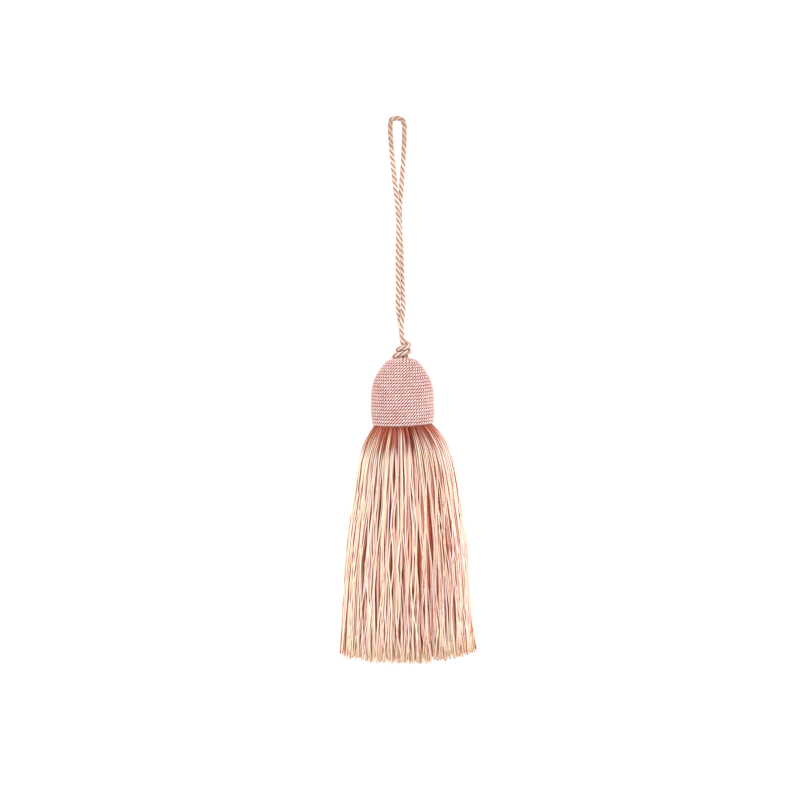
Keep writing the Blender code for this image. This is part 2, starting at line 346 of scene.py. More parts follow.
@dataclass
class TubeBundle:
    """Many round yarns of as many stations each, joined in one mesh.

    Each yarn keeps its own tone, and its map has the turn about the yarn as U, from 0 to 1,
    and the distance along it as V, in millimetres.
    """

    name: str
    sides: int

    def corners(self, yarns: int, stations: int) -> tuple[np.ndarray, np.ndarray]:
        """The vertex numbers of all side faces and of all end faces.

        Args:
            yarns: How many yarns the bundle has.
            stations: How many rings of vertices each yarn has.

        Returns:
            Side faces with four corners a row, and end faces with one corner a side.
        """
        ring = np.arange(self.sides)
        step = np.arange(stations - 1)[:, None] * self.sides
        here, there = step + ring, step + np.roll(ring, -1)
        quads = np.stack((here, there, there + self.sides, here + self.sides), axis=-1)
        starts = np.arange(yarns) * stations * self.sides
        last = (stations - 1) * self.sides
        ends = np.stack((ring[::-1], ring + last))
        side_faces = quads.reshape(1, -1, 4) + starts[:, None, None]
        end_faces = ends[None] + starts[:, None, None]
        return side_faces.reshape(-1, 4), end_faces.reshape(-1, self.sides)

    def make(self, lines: np.ndarray, across: np.ndarray, radii: np.ndarray,
             tones: np.ndarray, depths_and_shades: np.ndarray | float = 0.0) -> bpy.types.Object:
        """Builds the bundle.

        Args:
            lines: Middle lines, by yarn, station and coordinate.
            across: Directions across the lines from which the turn is counted, likewise.
            radii: Radius of each yarn at each station.
            tones: Tone from 0 to 1 of each yarn at each station.
            depths_and_shades: How much painted shade each yarn gets at each station, from 0 to 1: for
                threads their depth in the piece, for the winding the painted shade between its rows.

        Returns:
            The bundle as one object at the origin.
        """
        yarns, stations = radii.shape
        along = directions(lines)
        across = unit(across - along * np.sum(across * along, axis=-1, keepdims=True))
        over = np.cross(along, across)
        turn = np.arange(self.sides) * math.tau / self.sides
        spokes = (
            np.cos(turn)[:, None] * across[:, :, None, :] + np.sin(turn)[:, None] * over[:, :, None, :]
        )
        places = lines[:, :, None, :] + spokes * radii[:, :, None, None]
        side_faces, end_faces = self.corners(yarns, stations)
        mesh = bpy.data.meshes.new(self.name)
        mesh.vertices.add(yarns * stations * self.sides)
        mesh.vertices.foreach_set("co", places.ravel())
        mesh.loops.add(side_faces.size + end_faces.size)
        mesh.loops.foreach_set("vertex_index", np.concatenate((side_faces.ravel(), end_faces.ravel())))
        mesh.polygons.add(len(side_faces) + len(end_faces))
        side_starts = np.arange(len(side_faces)) * 4
        end_starts = side_faces.size + np.arange(len(end_faces)) * self.sides
        mesh.polygons.foreach_set("loop_start", np.concatenate((side_starts, end_starts)))
        smooth = np.concatenate((np.ones(len(side_faces), bool), np.zeros(len(end_faces), bool)))
        mesh.polygons.foreach_set("use_smooth", smooth)
        mesh.update(calc_edges=True)
        self.write_map(mesh, lines)
        # The depth attribute carries how much painted shade each yarn gets.
        for name, values in (("tone", tones), ("depth", np.broadcast_to(depths_and_shades, radii.shape))):
            attribute = mesh.attributes.new(name, "FLOAT", "POINT")
            attribute.data.foreach_set("value", np.repeat(values, self.sides, axis=1).ravel())
        mesh.validate()
        return add_object(self.name, mesh)

    def write_map(self, mesh: bpy.types.Mesh, lines: np.ndarray) -> None:
        """Writes the yarn map of a mesh whose faces are in this bundle's order.

        Args:
            mesh: The bundle's mesh.
            lines: Middle lines, by yarn, station and coordinate.
        """
        spans = np.linalg.norm(np.diff(lines, axis=1), axis=2)
        far = np.concatenate((np.zeros((len(lines), 1)), np.cumsum(spans, axis=1)), axis=1) / MM
        u = np.arange(self.sides + 1) / self.sides
        quad_u = np.stack((u[:-1], u[1:], u[1:], u[:-1]), axis=-1)
        quad_u = np.broadcast_to(quad_u, (*spans.shape, self.sides, 4))
        quad_v = np.stack((far[:, :-1], far[:, :-1], far[:, 1:], far[:, 1:]), axis=-1)
        quad_v = np.broadcast_to(quad_v[:, :, None, :], quad_u.shape)
        end_v = np.repeat(far[:, [0, -1]], self.sides, axis=1)
        flat_u = np.concatenate((quad_u.ravel(), np.full(end_v.size, 0.5)))
        flat_v = np.concatenate((quad_v.ravel(), end_v.ravel()))
        layer = mesh.uv_layers.new(name="yarn")
        layer.data.foreach_set("uv", np.stack((flat_u, flat_v), axis=1).ravel())


class ShaderBench:
    """A material's node tree, with short calls to add and join its nodes."""

    def __init__(self, name: str) -> None:
        """Starts an empty material with one Principled shader.

        Args:
            name: The material's name.
        """
        self.material = bpy.data.materials.new(name)
        self.material.use_nodes = True
        self.tree = self.material.node_tree
        self.shader = self.tree.nodes["Principled BSDF"]

    def add(self, kind: str, **settings: object) -> bpy.types.Node:
        """Adds a node.

        Args:
            kind: The node's type.
            settings: Its properties, by name.

        Returns:
            The new node.
        """
        node = self.tree.nodes.new(kind)
        for name, value in settings.items():
            setattr(node, name, value)
        return node

    def join(self, source: object, target: object) -> None:
        """Links a source, or sets it as the value of a socket.

        Args:
            source: A socket, or a constant value.
            target: The socket that takes it.
        """
        if isinstance(source, Socket):
            self.tree.links.new(source, target)
        else:
            target.default_value = source

    def maths(self, operation: str, first: object, second: object = 0.0) -> Socket:
        """Adds a maths node.

        Args:
            operation: What the node does.
            first: Its first socket or number.
            second: Its second one, where the operation has two.

        Returns:
            The result.
        """
        node = self.add("ShaderNodeMath", operation=operation)
        self.join(first, node.inputs[0])
        self.join(second, node.inputs[1])
        return node.outputs[0]

    def ramp(self, value: object, low: float, high: float, start: float, end: float) -> Socket:
        """Moves a value smoothly from one range to another.

        Args:
            value: The value, as a socket or a number.
            low: Where its range starts.
            high: Where its range ends.
            start: The result at low and under it.
            end: The result at high and over it.

        Returns:
            The moved value.
        """
        node = self.add("ShaderNodeMapRange", interpolation_type="SMOOTHSTEP")
        for socket, number in zip(node.inputs, (value, low, high, start, end)):
            self.join(number, socket)
        return node.outputs[0]

    def noise(self, place: Socket, scale: float, detail: float = 2.0) -> Socket:
        """Adds a noise.

        Args:
            place: Where the noise is read.
            scale: How fine it is.
            detail: How many finer layers it has.

        Returns:
            The noise, of about 0.3 to 0.7.
        """
        node = self.add("ShaderNodeTexNoise")
        node.inputs["Scale"].default_value = scale
        node.inputs["Detail"].default_value = detail
        self.join(place, node.inputs["Vector"])
        return node.outputs[0]

    def mix(self, share: object, first: object, second: object) -> Socket:
        """Mixes two colours.

        Args:
            share: How much of the second one to take.
            first: The first colour.
            second: The second colour.

        Returns:
            The mixed colour.
        """
        node = self.add("ShaderNodeMix", data_type="RGBA")
        self.join(share, node.inputs[0])
        self.join(first, node.inputs[6])
        self.join(second, node.inputs[7])
        return node.outputs[2]


@dataclass(frozen=True)
class YarnFinish:
    """Silky yarn: two tones, fine fibres that slant round it, and what its place on a piece adds.

    A yarn is painted darker, as painted shade, where it presses on the next one and where it lies
    deep in the piece. Threads are also dyed in patches along their length and are warmer at their
    tips; near their roots they are painted darker, as shade under the head's rim.
    """

    name: str
    light: Colour
    deep: Colour
    # Colour of the painted shade where a yarn presses on the next one and deep in the piece.
    painted_shade: Colour
    mottle: float = 0.16
    mottle_scale: float = 160.0
    open_side: float = 0.0
    pressed_shade_start: float = 0.09
    pressed_shade_end: float = 0.17
    pressed_shade_share: float = 1.0
    groove_roughness: float = 0.9
    patch: Colour | None = None
    patch_length: float = 9.0
    patch_scatter: float = 400.0
    patch_span: Span = (0.48, 0.58)
    patch_share: float = 0.9
    # Painted shade under the head's rim: the colour near a thread's root, where it fades, its spread by
    # tone, its strength, its streaks and its darker shade colour.
    root: Colour | None = None
    root_shade_start: float = 5.6
    root_shade_end: float = 12.0
    root_shade_spread: float = 4.5
    root_shade_share: float = 0.9
    streaks: float = 40.0
    streak_span: Span = (-0.7, 0.5)
    root_painted_shade: Colour = (0.18, 0.024, 0.010)
    tip: Colour | None = None
    tip_start: float = 77.0
    tip_end: float = 87.0
    tip_share: float = 0.42
    # Painted shade for yarns deep in the piece: its strength, and the depth at which it is full.
    depth_shade_share: float = 0.9
    depth_shade_full: float = 0.6
    fibres: int = 6
    fibre_lead: float = 4.0
    # Painted shade in the furrows between fibres: where on the fibre wave, and how strong.
    furrow_shade_span: Span = (-1.0, 0.2)
    furrow_shade_share: float = 0.35
    roughness: float = 0.38
    specular: float = 0.3
    bump: float = 0.5
    bump_height: float = 0.03

    def fibre_wave(self, bench: ShaderBench, uv: Socket) -> Socket:
        """The wave of the fibres, which slant round the yarn.

        Args:
            bench: The material's nodes.
            uv: The yarn map.

        Returns:
            A wave from -1 to 1 across the fibres.
        """
        slant = bench.add("ShaderNodeVectorMath", operation="DOT_PRODUCT")
        bench.join(uv, slant.inputs[0])
        turns = (math.tau * self.fibres, math.tau * self.fibres / self.fibre_lead, 0.0)
        slant.inputs[1].default_value = turns
        return bench.maths("SINE", slant.outputs["Value"])

    def dyed(self, bench: ShaderBench, tone: Socket, distance: Socket) -> Socket:
        """The yarn's two tones, with patches of a third colour along it.

        Args:
            bench: The material's nodes.
            tone: The yarn's own tone.
            distance: The distance along the yarn.

        Returns:
            The dyed colour.
        """
        place = bench.add("ShaderNodeTexCoord").outputs["Object"]
        blots = bench.noise(place, self.mottle_scale)
        mottle = bench.ramp(blots, *NOISE_SPAN, -self.mottle, self.mottle)
        uneven = bench.maths("ADD", tone, mottle)
        colour = bench.mix(uneven, (*self.light, 1.0), (*self.deep, 1.0))
        if self.patch:
            spot = bench.add("ShaderNodeCombineXYZ")
            bench.join(bench.maths("MULTIPLY", tone, self.patch_scatter), spot.inputs[0])
            bench.join(bench.maths("DIVIDE", distance, self.patch_length), spot.inputs[1])
            spread = bench.noise(spot.outputs[0], 1.0, 1.0)
            patches = bench.ramp(spread, *self.patch_span, 0.0, self.patch_share)
            colour = bench.mix(patches, colour, (*self.patch, 1.0))
        return colour

    def pressed_shade(self, bench: ShaderBench, around: Socket) -> Socket:
        """How much painted shade a spot on the yarn gets for being turned towards its neighbours.

        Args:
            bench: The material's nodes.
            around: The turn about the yarn.

        Returns:
            A share from 0 to 1.
        """
        turned = bench.maths("SUBTRACT", around, self.open_side)
        away = bench.maths("ABSOLUTE", bench.maths("SUBTRACT", turned, bench.maths("ROUND", turned)))
        return bench.ramp(away, self.pressed_shade_start, self.pressed_shade_end, 0.0, self.pressed_shade_share)

    def material(self) -> bpy.types.Material:
        """Makes the yarn's material.

        Returns:
            The material.
        """
        bench = ShaderBench(self.name)
        uv = bench.add("ShaderNodeUVMap", uv_map="yarn").outputs["UV"]
        tone = bench.add("ShaderNodeAttribute", attribute_name="tone").outputs["Fac"]
        depth = bench.add("ShaderNodeAttribute", attribute_name="depth").outputs["Fac"]
        split = bench.add("ShaderNodeSeparateXYZ")
        bench.join(uv, split.inputs[0])
        around, distance = split.outputs[0], split.outputs[1]
        wave = self.fibre_wave(bench, uv)
        colour = self.dyed(bench, tone, distance)
        # Painted shade in the furrows between the fibres.
        furrow_shade = bench.ramp(wave, *self.furrow_shade_span, self.furrow_shade_share, 0.0)
        colour = bench.mix(furrow_shade, colour, (*self.deep, 1.0))
        # Painted shade colour, for spots turned towards the next yarn and for yarns deep in the piece.
        painted_shade_colour = (*self.painted_shade, 1.0)
        # Painted shade under the head's rim: near the root the colour goes towards the root colour, in
        # streaks, and so does the painted shade colour.
        if self.root:
            shift = bench.ramp(tone, 0.0, 1.0, -self.root_shade_spread, self.root_shade_spread)
            reach = bench.maths("ADD", distance, shift)
            root_shade = bench.ramp(reach, self.root_shade_start, self.root_shade_end, 1.0, 0.0)
            streak = bench.maths("SINE", bench.maths("MULTIPLY", tone, self.streaks))
            paler = bench.ramp(streak, *self.streak_span, self.root_shade_share, 1.0)
            root_shade = bench.maths("MULTIPLY", root_shade, paler)
            colour = bench.mix(root_shade, colour, (*self.root, 1.0))
            painted_shade_colour = bench.mix(root_shade, painted_shade_colour, (*self.root_painted_shade, 1.0))
        if self.tip:
            near_tip = bench.ramp(distance, self.tip_start, self.tip_end, 0.0, self.tip_share)
            colour = bench.mix(near_tip, colour, (*self.tip, 1.0))
        painted_depth_shade = bench.ramp(depth, 0.0, self.depth_shade_full, 0.0, self.depth_shade_share)
        # Painted shade: the stronger of the depth shade and the shade where yarns press together.
        shade = bench.maths("MAXIMUM", painted_depth_shade, self.pressed_shade(bench, around))
        colour = bench.mix(shade, colour, painted_shade_colour)
        bump = bench.add("ShaderNodeBump")
        bump.inputs["Strength"].default_value = self.bump
        bump.inputs["Distance"].default_value = self.bump_height * MM
        bench.join(wave, bump.inputs["Height"])
        dullness = bench.ramp(shade, 0.0, 1.0, self.roughness, self.groove_roughness)
        bench.join(colour, bench.shader.inputs["Base Color"])
        bench.join(dullness, bench.shader.inputs["Roughness"])
        bench.join(bump.outputs[0], bench.shader.inputs["Normal"])
        bench.shader.inputs["Specular IOR Level"].default_value = self.specular
        return bench.material


@dataclass(frozen=True)
class ThreadFinish(YarnFinish):
    """The skirt's threads, which press on the next ones to both sides and are painted with shade there.
    """

    # Painted shade between the threads and deep in the skirt.
    painted_shade: Colour = (0.47, 0.07, 0.024)
    open_side: float = 0.25
    pressed_shade_start: float = 0.16
    pressed_shade_end: float = 0.27
    tip: Colour | None = (0.98, 0.74, 0.45)
    fibres: int = 2
    fibre_lead: float = 2.4
    specular: float = 0.26


@dataclass(frozen=True)
class PaleFinish:
    """A plain matt studio surface."""

    name: str = "pale_studio"
    light: Colour = (0.9, 0.89, 0.885)
    deep: Colour = (0.8, 0.79, 0.78)
    grain_scale: float = 6.0
    grain_share: float = 0.04
    roughness: float = 0.85

    def material(self) -> bpy.types.Material:
        """Makes the surface's material.

        Returns:
            The material.
        """
        bench = ShaderBench(self.name)
        place = bench.add("ShaderNodeTexCoord").outputs["Object"]
        grain = bench.ramp(bench.noise(place, self.grain_scale), *NOISE_SPAN, 0.0, self.grain_share)
        colour = bench.mix(grain, (*self.light, 1.0), (*self.deep, 1.0))
        bench.join(colour, bench.shader.inputs["Base Color"])
        bench.shader.inputs["Roughness"].default_value = self.roughness
        return bench.material


# The cord's painted shade colour darkens the grooves between its plies.
CORD_FINISH = YarnFinish(
    name="blush_cord", light=(0.75, 0.585, 0.51), deep=(0.43, 0.285, 0.20), painted_shade=(0.34, 0.18, 0.13),
    pressed_shade_start=0.12, pressed_shade_end=0.22, fibres=5, fibre_lead=-5.0, bump_height=0.05,
)
# The winding's painted shade colour darkens the grooves between its plies and rows.
WINDING_FINISH = YarnFinish(
    name="rose_winding", light=(0.98, 0.77, 0.735), deep=(0.87, 0.52, 0.48), painted_shade=(0.18, 0.03, 0.026),
    pressed_shade_share=0.88, fibres=3, fibre_lead=-2.6, bump_height=0.03,
)
# Each thread finish's root colour is painted shade under the head's rim.
THREAD_FINISHES = {
    YarnShade.CREAM: ThreadFinish(
        name="cream_thread", light=(0.83, 0.755, 0.565), deep=(0.78, 0.635, 0.44),
        patch=(0.84, 0.64, 0.555), root=(0.42, 0.09, 0.032),
    ),
    YarnShade.BLUSH: ThreadFinish(
        name="blush_thread", light=(0.83, 0.705, 0.68), deep=(0.77, 0.52, 0.495),
        patch=(0.85, 0.725, 0.575), root=(0.40, 0.065, 0.04),
    ),
    YarnShade.PEACH: ThreadFinish(
        name="peach_thread", light=(0.80, 0.59, 0.445), deep=(0.70, 0.39, 0.275),
        patch=(0.84, 0.65, 0.51), root=(0.22, 0.03, 0.012),
    ),
    YarnShade.SALMON: ThreadFinish(
        name="salmon_thread", light=(0.71, 0.385, 0.31), deep=(0.54, 0.21, 0.135),
        patch=(0.80, 0.50, 0.44), root=(0.11, 0.018, 0.009),
    ),
    # The core threads' darker colour is painted shade deep between the threads; the hidden heading
    # wears it too.
    YarnShade.CORE: ThreadFinish(
        name="core_thread_painted_shade", light=(0.74, 0.25, 0.12), deep=(0.58, 0.17, 0.08), root=(0.32, 0.07, 0.035),
        roughness=0.85, tip_share=0.3,
    ),
}


def rim_height() -> float:
    """Height of the head's rim, from which the skirt hangs."""
    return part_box("wound_head")[0].z


def add_object(name: str, data: bpy.types.ID) -> bpy.types.Object:
    """Adds an object to the scene.

    Args:
        name: Its name.
        data: Its mesh, light or camera.

    Returns:
        The object, at the origin.
    """
    made = bpy.data.objects.new(name, data)
    bpy.context.scene.collection.objects.link(made)
    return made


def dress(piece: bpy.types.Object, material: bpy.types.Material, node: str) -> None:
    """Gives a piece its material and its place in the frame, and reports it.

    Args:
        piece: The finished piece.
        material: Its material.
        node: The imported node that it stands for.
    """
    piece.data.materials.clear()
    piece.data.materials.append(material)
    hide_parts(node)
    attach(piece, "root")
    triangles = sum(len(face.vertices) - 2 for face in piece.data.polygons)
    LOG.info("%s: %d triangles", piece.name, triangles)


@dataclass
class LaidCord:
    """A cord of round plies that turn round its middle line."""

    plies: int = 3
    ply_radius: float = 0.475 * MM
    ply_offset: float = 0.50 * MM
    sides: int = 10
    twist: Twist = Twist.S

    def starts(self) -> np.ndarray:
        """The angle at which each ply starts, one a row."""
        return np.arange(self.plies)[:, None] * math.tau / self.plies

    def lay(self, line: np.ndarray, normals: np.ndarray, turns: np.ndarray) -> tuple[np.ndarray, ...]:
        """Lays the plies round a line.

        Args:
            line: The cord's middle line, one point a row.
            normals: Its normals, from which the plies' turn is counted.
            turns: How often the plies have gone round at each point.

        Returns:
            Each ply's angle, its direction from the line and its own middle line, by point.
        """
        angle = self.twist.value * math.tau * turns + self.starts()
        over = np.cross(directions(line), normals)
        outward = np.cos(angle)[:, :, None] * normals + np.sin(angle)[:, :, None] * over
        return angle, outward, line + outward * self.ply_offset


@dataclass
class LoopCord(LaidCord):
    """The hanging cord: three plies laid round one line, up one leg and down the other.

    The first stretch after the loop's top is painted darker, as painted shade, over two shares of
    the cord's length. A tone wave is its height, its turn in radians a metre, and its step from ply to
    ply.
    """

    lead: float = 6.8 * MM
    steps_per_lead: int = 22
    tone: float = 0.12
    painted_leg_shade_tone: float = 0.7
    painted_leg_shade_start: Span = (0.46, 0.52)
    painted_leg_shade_end: Span = (0.58, 0.68)
    tone_waves: tuple[tuple[float, float, float], ...] = ((0.2, 55.0, 1.0), (0.1, 410.0, 2.0))

    def route(self) -> np.ndarray:
        """The cord's middle line from the head, over the loop's top and back to the head.

        Returns:
            Points of the smooth line, evenly spaced.
        """
        left = np.array(LEG_ROUTE) * MM
        right = left * (-1.0, -1.0, 1.0)
        above_crown = np.array((0.0, 0.0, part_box("wound_head")[1].z))
        tied = np.array(TIED_LEG_ROUTE + TIED_LEG_END) * MM + above_crown
        straight = np.array(STRAIGHT_LEG_ROUTE + STRAIGHT_LEG_END) * MM + above_crown
        top = np.array(LOOP_TOP_ROUTE) * MM
        line = smooth_line(np.vstack((tied[::-1], left[::-1], top, right, straight)))
        length = travel(line)[-1]
        steps = round(length / self.lead * self.steps_per_lead)
        return points_at(line, np.linspace(0.0, length, steps + 1))

    def build(self) -> None:
        line = self.route()
        far = travel(line)
        angle, outward, lines = self.lay(line, carried_normals(line), far / self.lead)
        radii = np.full(angle.shape, self.ply_radius)
        share = far / far[-1]
        # Painted shade on the stretch after the loop's top.
        painted_leg_shade = smoothstep(share, *self.painted_leg_shade_start) * (1.0 - smoothstep(share, *self.painted_leg_shade_end))
        tones = self.tone + self.painted_leg_shade_tone * painted_leg_shade
        for height, turning, ply_step in self.tone_waves:
            tones = tones + height * np.sin(far * turning + ply_step * self.starts())
        cord = TubeBundle("loop_cord", self.sides).make(lines, outward, radii, tones)
        dress(cord, CORD_FINISH.material(), "hanging_cord")


@dataclass
class WoundHead(LaidCord):
    """The head: one fine plied cord wound from the rim to the crown over a mould."""

    ply_radius: float = 0.29 * MM
    ply_offset: float = 0.36 * MM
    sides: int = 6
    pitch: float = 1.18 * MM
    ply_spacing: float = 1.05 * MM
    # Where round a ply the painted shade between the rows starts and where it is full.
    painted_row_shade_span: Span = (-0.62, 0.25)
    steps_per_ply: float = 2.7
    socket_radius: float = 9.3 * MM
    socket_depth: float = 3.0 * MM
    fine_steps: int = 60000
    wander_steps: int = 800
    wander: float = 0.8
    ply_tone: float = 0.12
    mould_inset: float = 0.55
    mould_stride: int = 8
    mould_sides: int = 64
    sharp_angle: float = 50.0

    def outline(self, inward: float) -> np.ndarray:
        """The head's outline from rim to crown, set inward.

        Args:
            inward: How far inside the outside of the winding to run.

        Returns:
            Radius and height of each point of the fine outline.
        """
        height, radius = np.array(HEAD_OUTLINE).T * MM
        line = smooth_line(np.stack((radius, height), axis=1))
        along = directions(line)
        outward = np.stack((along[:, 1], -along[:, 0]), axis=1)
        return line - outward * inward

    def winding(self) -> Arrays:
        """The wound cord's middle line, with a whole number of plies in every turn.

        Returns:
            Evenly spaced points, their outward normals and how many plies have gone by.
        """
        profile = self.outline(self.ply_offset + self.ply_radius)
        rise = travel(profile)
        fine = np.linspace(0.5 * self.pitch, rise[-1], self.fine_steps)
        radius, height = points_at(profile, fine).T
        turns = fine / self.pitch
        angle = math.tau * turns + FRONT
        rows = np.arange(math.floor(turns[0]), math.ceil(turns[-1]) + 1)
        row_radius = np.interp(rows + 0.5, turns, radius)
        row_plies = np.maximum(np.round(math.tau * row_radius / self.ply_spacing), float(self.plies))
        passed = np.interp(turns, rows, np.concatenate(([0.0], np.cumsum(row_plies)[:-1])))
        ring = np.stack((np.cos(angle), np.sin(angle)), axis=1)
        spiral = np.column_stack((ring * radius[:, None], rim_height() + height))
        slope = directions(np.stack((radius, height), axis=1))
        normal = np.column_stack((ring * slope[:, 1:], -slope[:, 0]))
        stops = np.linspace(passed[0], passed[-1], round((passed[-1] - passed[0]) * self.steps_per_ply))
        columns = np.hstack((spiral, normal)).T
        places = np.stack([np.interp(stops, passed, column) for column in columns], axis=1)
        return {"line": places[:, :3], "normal": unit(places[:, 3:]), "passed": stops}

    def build_winding(self) -> bpy.types.Object:
        """Builds the wound cord, ply by ply.

        Returns:
            The winding.
        """
        wound = self.winding()
        angle, outward, lines = self.lay(wound["line"], wound["normal"], wound["passed"] / self.plies)
        chance = np.random.default_rng(SEED)
        far = travel(wound["line"])
        stops = np.linspace(0.0, far[-1], self.wander_steps)
        wander = np.interp(far, stops, chance.uniform(0.0, self.wander, self.wander_steps))
        tones = wander + self.ply_tone * np.sin(self.starts())
        radii = np.full(angle.shape, self.ply_radius)
        # Painted shade in the grooves between the winding's rows, passed on as depth.
        painted_row_shade = smoothstep(-np.cos(angle), *self.painted_row_shade_span)
        return TubeBundle("head_winding", self.sides).make(lines, outward, radii, tones, painted_row_shade)

    def build_mould(self) -> bpy.types.Object:
        """Spins the mould under the winding from its half section.

        Returns:
            The mould.
        """
        side = self.outline(self.mould_inset * self.pitch)[:: self.mould_stride]
        wall, top = self.socket_radius, self.socket_depth
        under = ((wall, side[0][1]), (wall, top), (0.0, top))
        section = [(0.0, side[-1][1]), *side[::-1], *under]
        mesh = bpy.data.meshes.new("head_mould")
        rim = rim_height()
        points = [(radius, 0.0, rim + height) for radius, height in section]
        mesh.from_pydata(points, [(i, i + 1) for i in range(len(points) - 1)], [])
        mould = add_object("head_mould", mesh)
        edit(mould)
        bpy.ops.mesh.select_all(action="SELECT")
        bpy.ops.mesh.spin(
            steps=self.mould_sides, angle=math.tau, center=(0.0, 0.0, 0.0), axis=(0.0, 0.0, 1.0)
        )
        bpy.ops.mesh.select_all(action="SELECT")
        bpy.ops.mesh.remove_doubles(threshold=WELD)
        bpy.ops.mesh.normals_make_consistent(inside=False)
        bpy.ops.object.mode_set(mode="OBJECT")
        mesh.shade_smooth()
        mesh.set_sharp_from_angle(angle=math.radians(self.sharp_angle))
        plain_yarn_map(mesh)
        return mould

    def build(self) -> None:
        """Builds and dresses the winding and the mould."""
        material = WINDING_FINISH.material()
        dress(self.build_winding(), material, "wound_head")
        dress(self.build_mould(), material, "wound_head")


def edit(piece: bpy.types.Object) -> None:
    """Opens a piece in edit mode, as the only selected one.

    Args:
        piece: The piece.
    """
    for other in bpy.context.selected_objects:
        other.select_set(False)
    piece.select_set(True)
    bpy.context.view_layer.objects.active = piece
    bpy.ops.object.mode_set(mode="EDIT")


def plain_yarn_map(mesh: bpy.types.Mesh) -> None:
    """Gives a solid piece a yarn map, by its turn and its height in millimetres, and the plain yarn
    attributes, which paint it in full painted shade.

    Args:
        mesh: The piece's mesh.
    """
    while mesh.uv_layers:
        mesh.uv_layers.remove(mesh.uv_layers[0])
    layer = mesh.uv_layers.new(name="yarn")
    for corner, spot in zip(mesh.loops, layer.data):
        place = mesh.vertices[corner.vertex_index].co
        spot.uv = (math.atan2(place.y, place.x) / math.tau, place.z / MM)
    for name, value in PLAIN_YARN.items():
        attribute = mesh.attributes.new(name, "FLOAT", "POINT")
        attribute.data.foreach_set("value", np.full(len(mesh.vertices), value))


